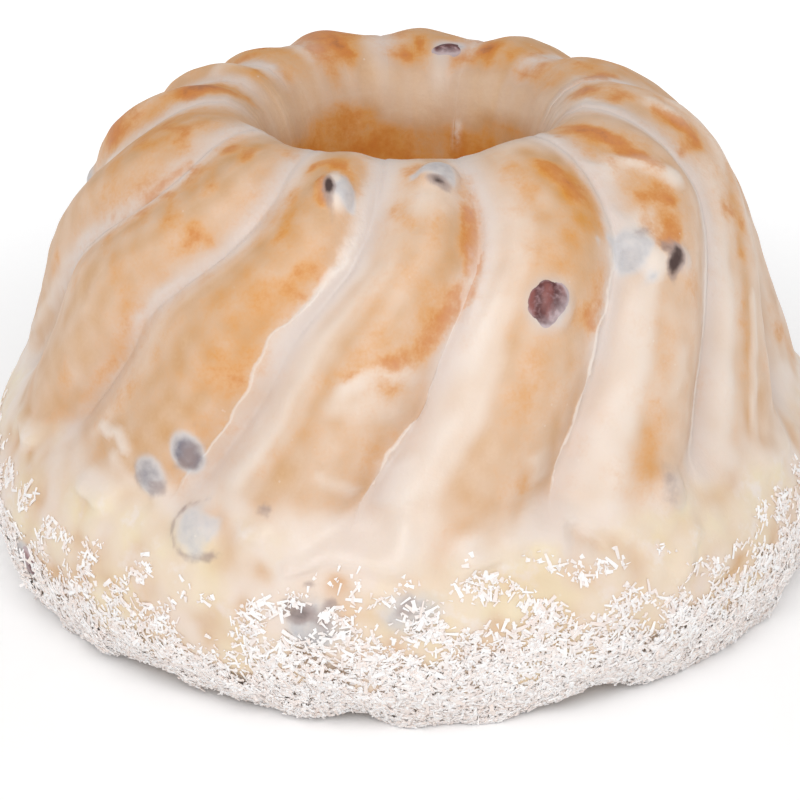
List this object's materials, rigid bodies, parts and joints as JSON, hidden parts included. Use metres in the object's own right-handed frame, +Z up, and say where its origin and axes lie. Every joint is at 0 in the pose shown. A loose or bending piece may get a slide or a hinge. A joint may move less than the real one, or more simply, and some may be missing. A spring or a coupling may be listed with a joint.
{
  "type": "babka",
  "caption": "Glazed ring-shaped yeast cake with a central hole, a swirled fluted crust set with raisins, and coconut shreds round its foot.",
  "frame": {"origin": "middle of the flat foot, on the axis of the hole", "axes": "+Z up along the hole's axis, from the foot to the crest; -Y towards the viewer, the side that the picture shows"},
  "size_m": [0.201, 0.2018, 0.1128],
  "materials": {
    "crust": "baked yeast dough under a thin translucent sugar glaze, satin",
    "raisin": "dried fruit under glaze, satin"
  },
  "bodies": {
    "root": {"cake": "crust", "raisin_01": "raisin", "raisin_02": "raisin", "raisin_03": "raisin", "raisin_04": "raisin", "raisin_05": "raisin", "raisin_06": "raisin", "raisin_07": "raisin", "raisin_08": "raisin", "raisin_09": "raisin", "raisin_10": "raisin", "raisin_11": "raisin", "raisin_12": "raisin", "raisin_13": "raisin", "raisin_14": "raisin", "raisin_15": "raisin", "raisin_16": "raisin", "raisin_17": "raisin", "raisin_18": "raisin", "raisin_19": "raisin", "raisin_20": "raisin", "raisin_21": "raisin", "raisin_22": "raisin"}
  },
  "joints": []
}
